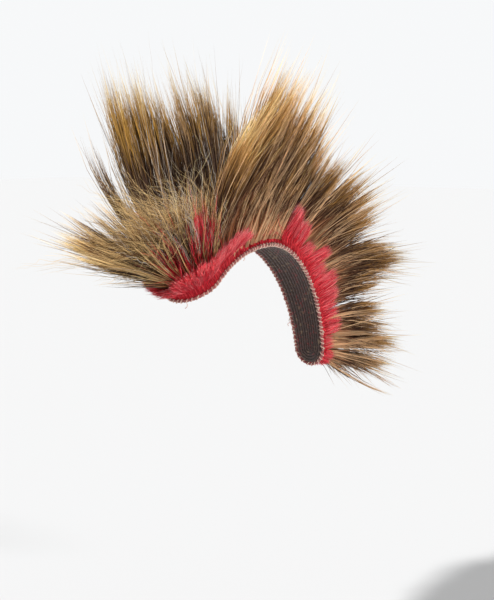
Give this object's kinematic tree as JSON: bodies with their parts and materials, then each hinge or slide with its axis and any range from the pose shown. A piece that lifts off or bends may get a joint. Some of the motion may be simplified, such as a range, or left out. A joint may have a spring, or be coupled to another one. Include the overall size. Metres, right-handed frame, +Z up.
{
  "type": "hair roach headdress",
  "caption": "Crest headdress: woven strip arched over the crown, two long rows of brown, gold-tipped guard hair, front and back tufts, red fringe and a thread-bound edge",
  "frame": {"origin": "underside of the woven strip at its highest point, where it rests on the crown of the head", "axes": "+Z up, the wearer faces -Y, the wearer's left is +X"},
  "size_m": [0.1817, 0.3622, 0.2543],
  "materials": {
    "woven_strip": "matt braided yarn",
    "edge_thread": "matt twisted thread",
    "red_deer_hair": "matt dyed hair",
    "brown_guard_hair": "satin guard hair",
    "gold_guard_hair": "satin guard hair"
  },
  "bodies": {
    "root": {"woven_strip": "woven_strip", "edge_cord": "edge_thread", "red_fringe_front": "red_deer_hair", "red_fringe_left": "red_deer_hair", "red_fringe_right": "red_deer_hair", "red_fringe_back": "red_deer_hair", "hair_left": "brown_guard_hair", "hair_right": "brown_guard_hair", "hair_back": "brown_guard_hair", "hair_front": "gold_guard_hair"}
  },
  "joints": []
}
